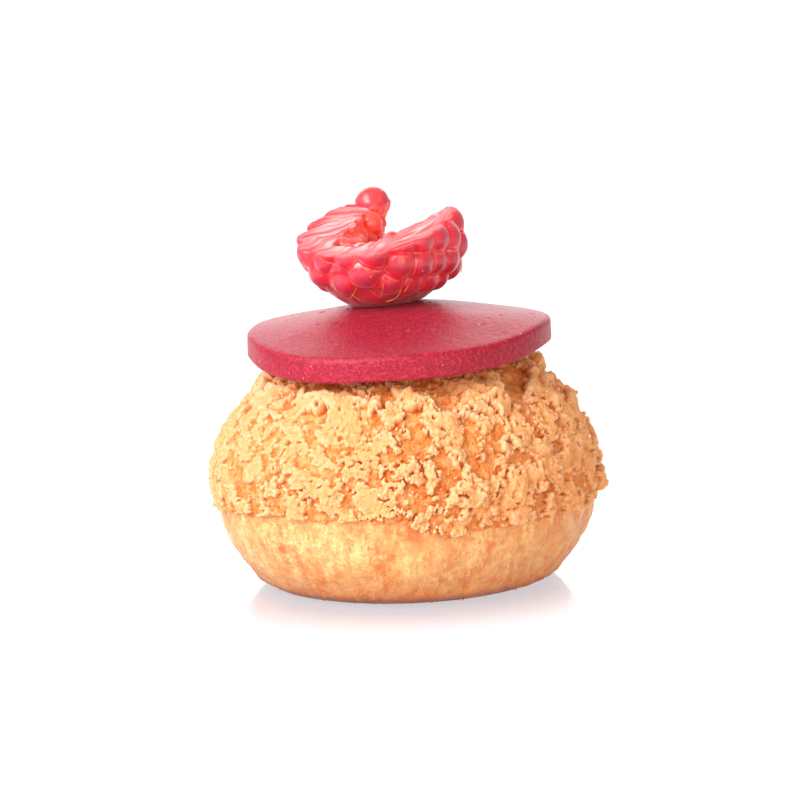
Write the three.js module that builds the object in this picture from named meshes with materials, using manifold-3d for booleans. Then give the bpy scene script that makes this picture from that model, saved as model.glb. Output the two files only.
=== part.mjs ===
// A choux bun with a crackled biscuit crust, a soft draped disc of almond paste on its crown,
// and half a raspberry, cut along its length, lying on the disc with the cut side up.
// Millimetres, +Z up, the front towards -Y. The origin is the centre of the bun's flat base.
import * as THREE from "three";
import { mergeVertices } from "three/addons/utils/BufferGeometryUtils.js";
import Module from "manifold-3d";

const wasm = await Module();
wasm.setup();

const degrees = THREE.MathUtils.degToRad;

// Driving dimensions

const bun = {
  radius: 27, // choux skin at its widest
  widestHeight: 15,
  crownRise: 19.4, // from the widest ring up to the crown
  keelDrop: 21.6, // from the widest ring down to where the lower curve would close
  baseRound: 0.8, // radius of the turn from the base into the side
  ovalness: 0.012, // share by which the plan leaves a circle
  ovalTurn: degrees(35),
  segments: 48,
  firstRing: 2.4, // lowest ring of the side
  ringStep: 2.1,
  crownRings: 10,
};

const crust = {
  hemHeight: 11.9, // mean height of the crust's lower edge
  hemWave: 0.45, // how far that edge wanders up and down
  hemThickness: 0.95,
  hemLip: 0.7, // height over which the hem's lower edge turns out
  hemFull: 1.5, // height up to which the hem keeps its thickness
  hemFade: 6.5, // height over which the hem thins out to single plates
  hemReach: 3, // height over which the skin's rings follow the hem's edge
  hemRings: [-0.4, 0, 0.35, 0.8, 2.2], // rings of the skin above and below the edge
  plateCount: 102,
  lowestPlate: 13.6,
  highestPlate: 32.9,
  plateReach: [2.4, 3.7], // half width of a plate, smallest and largest
  plateProud: [0.75, 1.65], // how far a plate stands out of the skin
  plateStretch: [0.82, 1.22], // length over mean half width
  plateSides: 6,
  plateSunk: 1.1, // part of a plate below the skin
  plateTaper: 0.86, // top over bottom width
  plateCrown: 0.25, // rise of a plate's middle over its corners
  cornerWander: [0.83, 1.17], // share by which a plate's corners go in and out
  cornerLift: [-0.15, 0.15],
  turnWander: [-0.175, 0.175], // of a plate's place round the bun, in radians
  rowWander: [-3, 3], // of a plate's place up the bun, in places
  seed: 20417,
  // Places where the crust has split open and only skin shows.
  bare: [
    { azimuth: degrees(-128), height: 29.2, reach: 3.6 },
    { azimuth: degrees(-76), height: 28.4, reach: 3.2 },
    { azimuth: degrees(-34), height: 28.9, reach: 3.6 },
    { azimuth: degrees(-6), height: 24.4, reach: 4 },
    { azimuth: degrees(9), height: 24.8, reach: 4 },
    { azimuth: degrees(75), height: 27.5, reach: 3.6 },
    { azimuth: degrees(150), height: 26.5, reach: 3.2 },
    { azimuth: degrees(177), height: 29.8, reach: 2.8 },
  ],
  // A loose flake that stands up on the left, close under the disc.
  flake: { azimuth: degrees(188), height: 28.3, reach: 2.1, proud: 2.3 },
};

const disc = {
  radius: 21.5,
  thickness: 3.5,
  sideSag: 1.5, // drop from the middle to the left and right ends
  frontSag: 2.3, // drop from the middle to the front and back
  cornerSag: 3, // further drop of the two front corners, a quarter of this at 45 degrees
  topRound: 0.7,
  bottomRound: 0.25,
  rightTwist: 1.75, // how far the right end turns up in front and down behind
  rightSharpness: 8,
  rightPoint: 0.012, // share by which the right end reaches past the circle
  centre: [-0.5, 0],
  undersideHeight: 34.85, // at the middle
  lean: degrees(1.1), // front edge down
  roll: degrees(1.3), // left edge down
  segments: 56,
};

const berry = {
  apexReach: 12.3, // from the widest section to the blunt tip
  stemReach: 9, // from the widest section to the open stem end
  stemFullness: 0.62, // how much of the stem half's curve is used before it is cut off
  width: 10.6, // half width of the drupelet bed at its widest
  drupeletRadius: 2.35,
  drupeletInset: 1.75, // drupelet centres below the bed's surface
  drupeletPitch: 3.8,
  drupeletStretch: [0.92, 1.08],
  drupeletGrowth: [0.94, 1.06],
  ringSpacing: 0.86, // distance between rings, over the pitch round a ring
  endInset: 1.6, // first ring from the stem end
  coreInset: 0.9,
  depthShare: 0.79, // height over width of the berry's cross section
  hollowLength: 16.5,
  hollowMouth: 6.3, // radius of the hollow at the stem end
  hollowTip: 3.2,
  hollowLift: 2, // of the hollow's middle line over the berry's
  hollowOverrun: [1, 3], // rounded ends beyond the hollow's length, at the tip and at the mouth
  cutHeight: 2.4, // height of the cut above the berry's axis, at its middle
  cutLean: degrees(10.5), // front of the cut down
  cutRoll: degrees(7), // left of the cut down
  bodyRoll: degrees(5), // left of the uncut berry up
  centre: [-2.7, 5.4],
  heading: degrees(53), // the stem end points to the back right
  // Two drupelets that the knife missed, at the end of the left arm, from the berry's middle.
  standing: [
    { at: [-0.9, 8.8, 4.4], radius: 2.45 },
    { at: [-1.0, 6.0, 1.5], radius: 1.7 },
  ],
  coreMesh: [8, 18], // rings and segments
  hollowMesh: [7, 14],
  seed: 733,
};

const restGap = 0.3; // clearance kept between pieces that lie on each other

// Helpers

function seededRandom(seed) {
  let state = seed >>> 0;
  return () => {
    state = (Math.imul(state, 1664525) + 1013904223) >>> 0;
    return state / 4294967296;
  };
}

function between([low, high], share) {
  return low + (high - low) * share;
}

function solidFrom(geometry) {
  const bare = geometry.clone();
  bare.deleteAttribute("normal");
  bare.deleteAttribute("uv");
  const merged = mergeVertices(bare, 1e-4);
  return new wasm.Manifold(
    new wasm.Mesh({
      numProp: 3,
      vertProperties: merged.attributes.position.array,
      triVerts: new Uint32Array(merged.index.array),
    }),
  );
}

function geometryFrom(solid) {
  const { vertProperties, triVerts } = solid.getMesh();
  const geometry = new THREE.BufferGeometry();
  geometry.setAttribute("position", new THREE.BufferAttribute(vertProperties, 3));
  geometry.setIndex(new THREE.BufferAttribute(triVerts, 1));
  geometry.computeVertexNormals();
  return geometry;
}

function moveVertices(geometry, move) {
  const position = geometry.attributes.position;
  const vertex = new THREE.Vector3();
  for (let i = 0; i < position.count; i++) {
    move(vertex.fromBufferAttribute(position, i));
    position.setXYZ(i, vertex.x, vertex.y, vertex.z);
  }
  return geometry;
}

// A lathe about +Z from pairs of radius and height.
function turned(profile, segments) {
  const points = profile.map(([radius, height]) => new THREE.Vector2(radius, height));
  return new THREE.LatheGeometry(points, segments).rotateX(Math.PI / 2);
}

// A quarter round from one direction to the next about a centre, as pairs of radius and height.
function roundedCorner(centreRadius, centreHeight, round, fromAngle, toAngle, steps) {
  const corner = [];
  for (let i = 0; i <= steps; i++) {
    const angle = fromAngle + ((toAngle - fromAngle) * i) / steps;
    corner.push([centreRadius + round * Math.cos(angle), centreHeight + round * Math.sin(angle)]);
  }
  return corner;
}

// Bun: the choux skin is two half ellipses of revolution, cut flat at the base

function curveHeight(z) {
  return z > bun.widestHeight ? bun.crownRise : bun.keelDrop;
}

function skinRadius(z) {
  const rise = (z - bun.widestHeight) / curveHeight(z);
  return bun.radius * Math.sqrt(Math.max(0, 1 - rise * rise));
}

function planFactor(azimuth) {
  return 1 + bun.ovalness * Math.cos(2 * (azimuth - bun.ovalTurn));
}

function hemHeightAt(azimuth) {
  return crust.hemHeight + crust.hemWave * (Math.sin(3 * azimuth + 0.7) + 0.6 * Math.sin(7 * azimuth));
}

// How far the crust's solid lower band stands out of the skin, by height above its edge.
function hemProud(above) {
  const lip = THREE.MathUtils.smoothstep(above, 0, crust.hemLip);
  return crust.hemThickness * lip * (1 - THREE.MathUtils.smoothstep(above, crust.hemFull, crust.hemFade));
}

function skinFrame(azimuth, z) {
  const radius = skinRadius(z) * planFactor(azimuth);
  const outward = radius / bun.radius ** 2;
  const upward = (z - bun.widestHeight) / curveHeight(z) ** 2;
  const [cos, sin] = [Math.cos(azimuth), Math.sin(azimuth)];
  const point = new THREE.Vector3(radius * cos, radius * sin, z);
  const normal = new THREE.Vector3(outward * cos, outward * sin, upward).normalize();
  return { point, normal };
}

function bunBody() {
  const baseCentre = skinRadius(bun.baseRound) - bun.baseRound;
  const profile = [[0, 0], [baseCentre * 0.5, 0]];
  profile.push(...roundedCorner(baseCentre, bun.baseRound, bun.baseRound, -Math.PI / 2, 0, 2));
  for (let z = bun.firstRing; z < crust.hemHeight - 1; z += bun.ringStep) {
    profile.push([skinRadius(z), z]);
  }
  for (const above of crust.hemRings) {
    profile.push([skinRadius(crust.hemHeight + above), crust.hemHeight + above]);
  }
  const crown = bun.widestHeight + bun.crownRise;
  const firstRise = Math.asin(0.06);
  for (let i = 0; i < bun.crownRings; i++) {
    const rise = firstRise + ((Math.PI / 2 - firstRise) * i) / bun.crownRings;
    profile.push([bun.radius * Math.cos(rise), bun.widestHeight + bun.crownRise * Math.sin(rise)]);
  }
  profile.push([0, crown]);

  return moveVertices(turned(profile, bun.segments), (v) => {
    const radius = Math.hypot(v.x, v.y);
    if (radius < 1e-6) return;
    const azimuth = Math.atan2(v.y, v.x);
    const hemShift = hemHeightAt(azimuth) - crust.hemHeight;
    const nearHem = Math.max(0, 1 - Math.abs(v.z - crust.hemHeight) / crust.hemReach);
    const proud = hemProud(v.z - crust.hemHeight);
    const scale = planFactor(azimuth) * (1 + proud / Math.max(radius, proud));
    v.set(v.x * scale, v.y * scale, v.z + hemShift * nearHem);
  });
}

// The seeded places and sizes of the crust's plates, without those that fall in a bare place.
function plateList() {
  const random = seededRandom(crust.seed);
  const golden = Math.PI * (3 - Math.sqrt(5));
  const plates = [];
  for (let i = 0; i < crust.plateCount; i++) {
    const azimuth = i * golden + between(crust.turnWander, random());
    const share = (i + 0.5 + between(crust.rowWander, random())) / crust.plateCount;
    const height = between([crust.lowestPlate, crust.highestPlate], THREE.MathUtils.clamp(share, 0, 1));
    const reach = between(crust.plateReach, random());
    const stretch = between(crust.plateStretch, random());
    const proud = between(crust.plateProud, random());
    const twist = 2 * Math.PI * random();
    const { point } = skinFrame(azimuth, height);
    const inBare = crust.bare.some((patch) => {
      return point.distanceTo(skinFrame(patch.azimuth, patch.height).point) < patch.reach;
    });
    if (!inBare) plates.push({ azimuth, height, reach, stretch, proud, twist });
  }
  plates.push({ ...crust.flake, stretch: 1, twist: 0 });
  return plates;
}

// One crust plate: a ragged many-sided slab set into the skin.
function crustPlate({ azimuth, height, reach, stretch, proud, twist }, random) {
  const tall = proud + crust.plateSunk;
  const slab = new THREE.CylinderGeometry(reach * crust.plateTaper, reach, tall, crust.plateSides, 1);
  const wander = Array.from({ length: crust.plateSides }, () => between(crust.cornerWander, random()));
  const lift = Array.from({ length: crust.plateSides }, () => between(crust.cornerLift, random()));
  const { point, normal } = skinFrame(azimuth, height);
  const upAxis = new THREE.Vector3(0, 1, 0);
  const upright = new THREE.Quaternion().setFromUnitVectors(upAxis, normal);
  return moveVertices(slab, (v) => {
    const corner = Math.round((Math.atan2(v.x, v.z) / (2 * Math.PI)) * crust.plateSides);
    const side = (corner + crust.plateSides) % crust.plateSides;
    const outer = Math.hypot(v.x, v.z) > 1e-6;
    const spread = outer ? wander[side] : 1;
    const topLift = outer ? lift[side] : crust.plateCrown;
    const raise = tall / 2 - crust.plateSunk + (v.y > 0 ? topLift : 0);
    v.set(v.x * spread * stretch, v.y + raise, (v.z * spread) / stretch);
    v.applyAxisAngle(upAxis, twist).applyQuaternion(upright).add(point);
    if (Math.hypot(v.x - disc.centre[0], v.y - disc.centre[1]) < disc.radius + 1) {
      v.z = Math.min(v.z, discUnderside(v.x, v.y) - restGap);
    }
  });
}

function chouxBun() {
  const random = seededRandom(crust.seed + 1);
  let solid = solidFrom(bunBody());
  for (const plate of plateList()) {
    solid = solid.add(solidFrom(crustPlate(plate, random)));
  }
  return geometryFrom(solid);
}

// Disc: a thick round of paste that sags from its middle to its edge

// Drop of the disc below its middle, with a twist that grows towards the right end.
function discSag(x, y) {
  const across = x / disc.radius;
  const along = y / disc.radius;
  const twist = disc.rightTwist * Math.max(0, across) ** 2 * along;
  const corner = disc.cornerSag * across ** 2 * Math.min(0, along) ** 2;
  return disc.sideSag * across ** 2 + disc.frontSag * along ** 2 + twist + corner;
}

// Height of the disc's underside over a point of the plan.
function discUnderside(x, y) {
  const dx = x - disc.centre[0];
  const dy = y - disc.centre[1];
  return disc.undersideHeight + dx * Math.tan(disc.roll) + dy * Math.tan(disc.lean) - discSag(dx, dy);
}

function discTop(x, y) {
  return discUnderside(x, y) + disc.thickness;
}

// Share of the radius that the outline has in one direction: round, with a slight point on the right.
function discOutline(azimuth) {
  return 1 + disc.rightPoint * Math.max(0, Math.cos(azimuth)) ** disc.rightSharpness;
}

function pasteDisc() {
  const { radius, thickness, topRound, bottomRound } = disc;
  const ringShares = [0, 0.4, 0.75];
  const profile = ringShares.map((share) => [radius * share, 0]);
  profile.push(...roundedCorner(radius - bottomRound, bottomRound, bottomRound, -Math.PI / 2, 0, 1));
  profile.push(...roundedCorner(radius - topRound, thickness - topRound, topRound, 0, Math.PI / 2, 3));
  profile.push(...ringShares.toReversed().map((share) => [radius * share, thickness]));
  return moveVertices(turned(profile, disc.segments), (v) => {
    const outline = discOutline(Math.atan2(v.y, v.x));
    const x = v.x * outline;
    const y = v.y * outline;
    const lift = discUnderside(x + disc.centre[0], y + disc.centre[1]);
    v.set(x + disc.centre[0], y + disc.centre[1], v.z + lift);
  });
}

// Raspberry half: its long axis is local X with the stem end at +X

function bedRadius(x) {
  const reach = x < 0 ? berry.apexReach : berry.stemReach / berry.stemFullness;
  return berry.width * Math.sqrt(Math.max(0, 1 - (x / reach) ** 2));
}

// A solid of revolution about local X from a radius function, flattened to the berry's cross section.
function turnedAboutX(radiusAt, from, to, rings, segments) {
  const profile = [[0, from]];
  for (let i = 1; i < rings; i++) {
    const x = from + ((to - from) * (1 - Math.cos((Math.PI * i) / rings))) / 2;
    profile.push([Math.max(radiusAt(x), 0.05), x]);
  }
  profile.push([0, to]);
  return turned(profile, segments).rotateY(Math.PI / 2).scale(1, 1, berry.depthShare);
}

function drupelet(x, angle, distance, random) {
  const stretch = between(berry.drupeletStretch, random());
  const radius = berry.drupeletRadius * between(berry.drupeletGrowth, random());
  const ball = new THREE.IcosahedronGeometry(radius, 1);
  ball.scale(stretch, 1, 1 / stretch).rotateX(2 * Math.PI * random());
  return ball.translate(x, distance * Math.cos(angle), distance * Math.sin(angle) * berry.depthShare);
}

// Everything above the knife's path, as one large turned block.
function aboveCut() {
  const size = 4 * berry.apexReach;
  const block = new THREE.BoxGeometry(size, size, size).translate(0, 0, size / 2);
  return block.rotateY(-berry.cutRoll).rotateX(berry.cutLean).translate(0, 0, berry.cutHeight);
}

function berryHollow() {
  const start = berry.stemReach - berry.hollowLength;
  const radiusAt = (x) => {
    const share = THREE.MathUtils.clamp((x - start) / berry.hollowLength, 0, 1);
    return between([berry.hollowTip, berry.hollowMouth], share);
  };
  const [tipOverrun, mouthOverrun] = berry.hollowOverrun;
  const ends = [start - tipOverrun, berry.stemReach + mouthOverrun];
  return turnedAboutX(radiusAt, ...ends, ...berry.hollowMesh).translate(0, 0, berry.hollowLift);
}

function raspberryHalf() {
  const random = seededRandom(berry.seed);
  const coreRadius = (x) => bedRadius(x) - berry.coreInset;
  const coreEnds = [berry.coreInset - berry.apexReach, berry.stemReach - berry.coreInset];
  let solid = solidFrom(turnedAboutX(coreRadius, ...coreEnds, ...berry.coreMesh));

  // Rings of drupelets from the stem end to the tip, each ring set half a step round from the last.
  const ringPitch = berry.drupeletPitch * berry.ringSpacing;
  let stagger = 0;
  for (let x = berry.stemReach - berry.endInset; x > 1 - berry.apexReach; x -= ringPitch) {
    const distance = Math.max(0, bedRadius(x) - berry.drupeletInset);
    const count = Math.max(1, Math.round((2 * Math.PI * distance) / berry.drupeletPitch));
    for (let i = 0; i < count; i++) {
      const angle = (2 * Math.PI * (i + stagger)) / count;
      solid = solid.add(solidFrom(drupelet(x, angle, distance, random)));
    }
    stagger = 0.5 - stagger;
  }

  solid = solid.subtract(solidFrom(berryHollow()));
  const { radToDeg } = THREE.MathUtils;
  solid = solid.rotate([0, 0, radToDeg(berry.heading)]).rotate([0, radToDeg(berry.bodyRoll), 0]);
  solid = solid.subtract(solidFrom(aboveCut()));
  for (const { at, radius } of berry.standing) {
    solid = solid.add(solidFrom(new THREE.IcosahedronGeometry(radius, 1).translate(...at)));
  }
  return geometryFrom(solid);
}

// Lowers a piece until its nearest vertex is the rest gap above a surface.
function restOn(mesh, surfaceHeight) {
  mesh.updateMatrix();
  const position = mesh.geometry.attributes.position;
  const vertex = new THREE.Vector3();
  let clearance = Infinity;
  for (let i = 0; i < position.count; i++) {
    vertex.fromBufferAttribute(position, i).applyMatrix4(mesh.matrix);
    clearance = Math.min(clearance, vertex.z - surfaceHeight(vertex.x, vertex.y));
  }
  mesh.position.z += restGap - clearance;
}

// Assembly

function piece(name, geometry, color, roughness) {
  const material = new THREE.MeshStandardMaterial({ color, roughness, metalness: 0 });
  const mesh = new THREE.Mesh(geometry, material);
  mesh.name = name;
  return mesh;
}

const pastry = new THREE.Group();
pastry.add(piece("choux_bun", chouxBun(), 0xe9ab62, 0.75));
pastry.add(piece("paste_disc", pasteDisc(), 0xc33047, 0.5));

const raspberry = piece("raspberry_half", raspberryHalf(), 0xe03a4c, 0.3);
raspberry.position.set(...berry.centre, disc.undersideHeight + disc.thickness + berry.width);
restOn(raspberry, discTop);
pastry.add(raspberry);

export default pastry;
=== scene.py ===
import math

import bpy
import numpy as np
from mathutils import Matrix, Quaternion, Vector


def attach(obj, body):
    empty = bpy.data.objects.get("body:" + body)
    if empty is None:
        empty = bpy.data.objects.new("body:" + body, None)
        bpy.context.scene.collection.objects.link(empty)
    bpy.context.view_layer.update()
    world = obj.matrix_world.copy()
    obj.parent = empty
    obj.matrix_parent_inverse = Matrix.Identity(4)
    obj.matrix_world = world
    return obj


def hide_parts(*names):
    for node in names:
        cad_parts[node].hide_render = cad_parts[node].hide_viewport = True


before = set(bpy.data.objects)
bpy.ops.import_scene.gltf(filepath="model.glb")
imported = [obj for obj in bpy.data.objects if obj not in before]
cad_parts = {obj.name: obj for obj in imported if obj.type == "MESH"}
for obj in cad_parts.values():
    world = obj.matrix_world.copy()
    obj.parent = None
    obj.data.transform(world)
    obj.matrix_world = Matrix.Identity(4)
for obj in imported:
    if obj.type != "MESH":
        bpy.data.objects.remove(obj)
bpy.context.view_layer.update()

mm = 0.001
golden = math.pi * (3 - math.sqrt(5))
mostTriangles = 190000  # of one piece


# Picking, moving and finishing pieces

def dropPick():
    if bpy.context.object and bpy.context.object.mode == "EDIT":
        bpy.ops.object.mode_set(mode="OBJECT")
    bpy.ops.object.select_all(action="DESELECT")


def takeUp(piece):
    dropPick()
    piece.select_set(True)
    bpy.context.view_layer.objects.active = piece


def named(name):  # the primitive that was just added, with its place put into its mesh
    piece = bpy.context.object
    piece.name = name
    piece.data.name = name
    bpy.ops.object.transform_apply(location=True, rotation=True, scale=True)
    return piece


def rowsOf(layer, field):
    flat = np.empty(len(layer) * 3, dtype=np.float32)
    layer.foreach_get(field, flat)
    return flat.reshape(-1, 3).astype(np.float64)


def pointsOf(piece):  # in mm
    return rowsOf(piece.data.vertices, "co") / mm


def normalsOf(piece):
    return rowsOf(piece.data.vertex_normals, "vector")


def setPoints(piece, points):
    piece.data.vertices.foreach_set("co", (points * mm).astype(np.float32).ravel())
    piece.data.update()


def pickVertices(piece, chosen):
    takeUp(piece)
    bpy.ops.object.mode_set(mode="EDIT")
    bpy.ops.mesh.select_mode(type="VERT")
    bpy.ops.mesh.select_all(action="DESELECT")
    bpy.ops.object.mode_set(mode="OBJECT")
    piece.data.vertices.foreach_set("select", np.ascontiguousarray(chosen, dtype=bool))
    bpy.ops.object.mode_set(mode="EDIT")


def applyModifier(piece, kind, settings):
    takeUp(piece)
    bpy.ops.object.modifier_add(type=kind)
    modifier = piece.modifiers[-1]
    for name, value in settings.items():
        setattr(modifier, name, value)
    bpy.ops.object.modifier_apply(modifier=modifier.name)


def editAll(piece):
    takeUp(piece)
    bpy.ops.object.mode_set(mode="EDIT")
    bpy.ops.mesh.select_all(action="SELECT")


def mergeAndTurnOut(piece):
    editAll(piece)
    bpy.ops.mesh.remove_doubles(threshold=0.001 * mm)
    bpy.ops.mesh.normals_make_consistent(inside=False)
    bpy.ops.object.mode_set(mode="OBJECT")


def joinTo(piece, more):
    takeUp(piece)
    more.select_set(True)
    bpy.ops.object.join()


def remesh(piece, voxel):
    applyModifier(piece, "REMESH", {"mode": "VOXEL", "voxel_size": voxel * mm})


def smooth(piece):
    takeUp(piece)
    bpy.ops.object.shade_smooth()


def thin(piece):
    piece.data.calc_loop_triangles()
    have = len(piece.data.loop_triangles)
    if have > mostTriangles:
        applyModifier(piece, "DECIMATE", {"ratio": mostTriangles / have})


def keepValue(piece, name, values):  # a number for each vertex that the finish reads
    spot = piece.data.attributes.new(name, "FLOAT", "POINT")
    spot.data.foreach_set("value", np.ascontiguousarray(values, dtype=np.float32))


def pieceFrom(name, points, faces):
    mesh = bpy.data.meshes.new(name)
    sides = faces.shape[1]
    mesh.vertices.add(len(points))
    mesh.vertices.foreach_set("co", (points * mm).astype(np.float32).ravel())
    mesh.loops.add(faces.size)
    mesh.loops.foreach_set("vertex_index", faces.astype(np.int32).ravel())
    mesh.polygons.add(len(faces))
    mesh.polygons.foreach_set("loop_start", np.arange(0, faces.size, sides, dtype=np.int32))
    mesh.update(calc_edges=True)
    piece = bpy.data.objects.new(name, mesh)
    bpy.context.scene.collection.objects.link(piece)
    return piece


def spun(name, profile, axis, steps):  # a profile in mm turned right round an axis
    mesh = bpy.data.meshes.new(name)
    corners = [tuple(c * mm for c in corner) for corner in profile]
    mesh.from_pydata(corners, [(i, i + 1) for i in range(len(corners) - 1)], [])
    form = bpy.data.objects.new(name, mesh)
    bpy.context.scene.collection.objects.link(form)
    editAll(form)
    bpy.ops.mesh.spin(steps=steps, angle=2 * math.pi, center=(0, 0, 0), axis=axis)
    bpy.ops.object.mode_set(mode="OBJECT")
    mergeAndTurnOut(form)
    return form


def copies(shape, spots, frames):  # one modelled shape set at many places: frames are 3 x 3, one a spot
    points, faces = shape
    placed = np.einsum("nij,pj->npi", frames, points) + spots[:, None, :]
    index = faces[None] + (np.arange(len(spots)) * len(points))[:, None, None]
    return placed.reshape(-1, 3), index.reshape(-1, faces.shape[1])


def shapeOf(piece):  # takes a modelled shape off the table as plain arrays
    faces = np.array([list(face.vertices) for face in piece.data.polygons])
    points = pointsOf(piece)
    bpy.data.objects.remove(piece)
    return points, faces


def ballShape(name, subdivisions):
    dropPick()
    bpy.ops.mesh.primitive_ico_sphere_add(subdivisions=subdivisions, radius=1 * mm)
    return shapeOf(named(name))


def draws(seed):
    state = seed
    while True:
        state = (state * 1664525 + 1013904223) % 4294967296
        yield state / 4294967296


def between(pair, share):
    return pair[0] + (pair[1] - pair[0]) * share


def ease(values, low, high):
    share = np.clip((values - low) / (high - low), 0, 1)
    return share * share * (3 - 2 * share)


def scatter(spot, seed):  # a seeded whole number for each place on a grid
    key = spot[:, 0] * 73856093 ^ spot[:, 1] * 19349663 ^ spot[:, 2] * 83492791 ^ seed * 50331653
    key = (key & 0xFFFFFFFF) * 1274126177 & 0xFFFFFFFF
    key = (key ^ (key >> 15)) * 2246822519 & 0xFFFFFFFF
    return key ^ (key >> 13)


def lumps(points, size, seed):  # soft seeded noise from -1 to 1, with lumps of about the given size
    turn = np.array(Matrix.Rotation(0.7 + seed, 3, Vector((0.48, 0.6, 0.64))))
    grid = points @ turn.T / size
    cell = np.floor(grid).astype(np.int64)
    part = grid - cell
    part = part * part * (3 - 2 * part)
    total = np.zeros(len(points))
    for corner in np.ndindex(2, 2, 2):
        spot = cell + np.array(corner)
        value = (scatter(spot, seed) & 0xFFFF) / 32767.5 - 1
        total += value * np.prod(np.where(corner, part, 1 - part), axis=1)
    return total


def layered(points, rows):  # lumps of several sizes together: rows of size, height and seed
    return sum(height * lumps(points, size, seed) for size, height, seed in rows)


def rugged(points, size, seed, rounds, fall):  # noise with finer and finer lumps on it
    total, power = 0, 0
    for i in range(rounds):
        total = total + fall**i * lumps(points, size / 2**i, seed + 40 * i)
        power += fall ** (2 * i)
    return total / math.sqrt(power)


def grainy(points, size, seed):  # rounded grains of about the given size: 1 on their tops, less between them
    grid = points / size
    cell = np.floor(grid).astype(np.int64)
    closest = np.full(len(points), 9.0)
    for corner in np.ndindex(3, 3, 3):
        spot = cell + np.array(corner) - 1
        key = scatter(spot, seed)
        middle = spot + np.stack([key & 1023, key >> 10 & 1023, key >> 20 & 1023], axis=1) / 1023
        closest = np.minimum(closest, ((middle - grid) ** 2).sum(axis=1))
    return 1 - np.minimum(closest, 1)


# Finishes

class Flow:  # a socket that can take part in sums

    def __init__(self, finish, socket):
        self.finish = finish
        self.socket = socket

    def maths(self, operation, first, second):
        return self.finish.node("ShaderNodeMath", {"operation": operation}, {0: first, 1: second})

    def __add__(self, other):
        return self.maths("ADD", self, other)

    def __radd__(self, other):
        return self.maths("ADD", other, self)

    def __sub__(self, other):
        return self.maths("SUBTRACT", self, other)

    def __rsub__(self, other):
        return self.maths("SUBTRACT", other, self)

    def __mul__(self, other):
        return self.maths("MULTIPLY", self, other)

    def __rmul__(self, other):
        return self.maths("MULTIPLY", other, self)

    def __truediv__(self, other):
        return self.maths("DIVIDE", self, other)


class Finish:  # one material and the ways to add nodes to it

    def __init__(self, name, fixed):
        self.material = bpy.data.materials.new(name)
        self.material.use_nodes = True
        self.tree = self.material.node_tree
        self.tree.nodes.clear()
        output = self.tree.nodes.new("ShaderNodeOutputMaterial")
        self.shader = self.tree.nodes.new("ShaderNodeBsdfPrincipled")
        self.tree.links.new(self.shader.outputs[0], output.inputs["Surface"])
        for socket, value in fixed.items():
            self.shader.inputs[socket].default_value = value

    def node(self, kind, settings, sockets, out=0):
        node = self.tree.nodes.new(kind)
        for name, value in settings.items():
            setattr(node, name, value)
        for name, value in sockets.items():
            self.feed(node.inputs[name], value)
        return Flow(self, node.outputs[out])

    def feed(self, socket, value):
        if isinstance(value, Flow):
            self.tree.links.new(value.socket, socket)
        else:
            socket.default_value = value

    def place(self):  # object coordinates, in metres
        return self.node("ShaderNodeTexCoord", {}, {}, "Object")

    def value(self, name):
        return self.node("ShaderNodeAttribute", {"attribute_name": name}, {}, "Fac")

    def axis(self, vector, name):
        return self.node("ShaderNodeSeparateXYZ", {}, {0: vector}, name)

    def vector(self, operation, first, second):
        return self.node("ShaderNodeVectorMath", {"operation": operation}, {0: first, 1: second})

    def noise(self, at, size, detail, roughness):  # size in mm
        sockets = {"Vector": at, "Scale": 1 / (size * mm), "Detail": detail, "Roughness": roughness}
        return self.node("ShaderNodeTexNoise", {}, sockets, "Fac")

    def cells(self, at, size):  # distance to the nearest of many spots, size in mm
        return self.node("ShaderNodeTexVoronoi", {}, {"Vector": at, "Scale": 1 / (size * mm)}, "Distance")

    def ease(self, value, low, high):
        settings = {"interpolation_type": "SMOOTHSTEP"}
        return self.node("ShaderNodeMapRange", settings, {"Value": value, "From Min": low, "From Max": high})

    def mix(self, share, first, second):  # colours
        sockets = {"Factor": share, 6: first, 7: second}
        return self.node("ShaderNodeMix", {"data_type": "RGBA"}, sockets, 2)

    def lay(self, base, tint, value, low, high, share=1.0):  # lays a tint on where a value rises
        return self.mix(self.ease(value, low, high) * share, base, tint)

    def bump(self, height, depth):  # depth in mm
        return self.node("ShaderNodeBump", {}, {"Height": height, "Distance": depth * mm, "Strength": 1.0})

    def paint(self, sockets):
        for name, value in sockets.items():
            self.feed(self.shader.inputs[name], value)
        return self.material


def colour(red, green, blue):  # from screen values to the shader's own
    levels = [c / 255 for c in (red, green, blue)]
    return tuple(c / 12.92 if c <= 0.04045 else ((c + 0.055) / 1.055) ** 2.4 for c in levels) + (1.0,)


def twoTone(name, fixed, noise, span, tints):  # a plain material with a soft change of colour
    finish = Finish(name, fixed)
    shade = finish.noise(finish.place(), *noise)
    return finish.paint({"Base Color": finish.mix(finish.ease(shade, *span), *tints)})


def dress(piece, material, node):
    piece.data.materials.clear()
    piece.data.materials.append(material)
    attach(piece, "root")
    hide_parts(node)
    print(piece.name, len(piece.data.polygons), "faces")


# Bun: the skin that the crust sits on

bun = {
    "radius": 27,
    "widest": 15,  # height of the widest place
    "crownRise": 19.4,
    "keelDrop": 21.6,
    "baseRound": 0.8,
    "ovalness": 0.012,
    "ovalTurn": math.radians(35),
    "segments": 540,
    "rings": 210,
    "lumps": ((5.5, 0.3, 11), (2.2, 0.12, 12)),  # size, height and seed
    "wrinkle": 0.14,
    "wrinkleSize": (1.1, 1.3),  # of those that run up and down, and of those all over
    "wrinkleStretch": 0.22,
    "dent": 0.3,
    "dentSize": 1.9,
    "belly": (0.45, 7, 13),  # fullness under the crust, and the heights between which it fades
    "shadedSide": (4, 26),  # painted shade on the side away from the key light: how far right of the middle it starts to be darker, and is darkest
    "seed": 11,
}


def curveHeight(z):
    return np.where(z > bun["widest"], bun["crownRise"], bun["keelDrop"])


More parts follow.
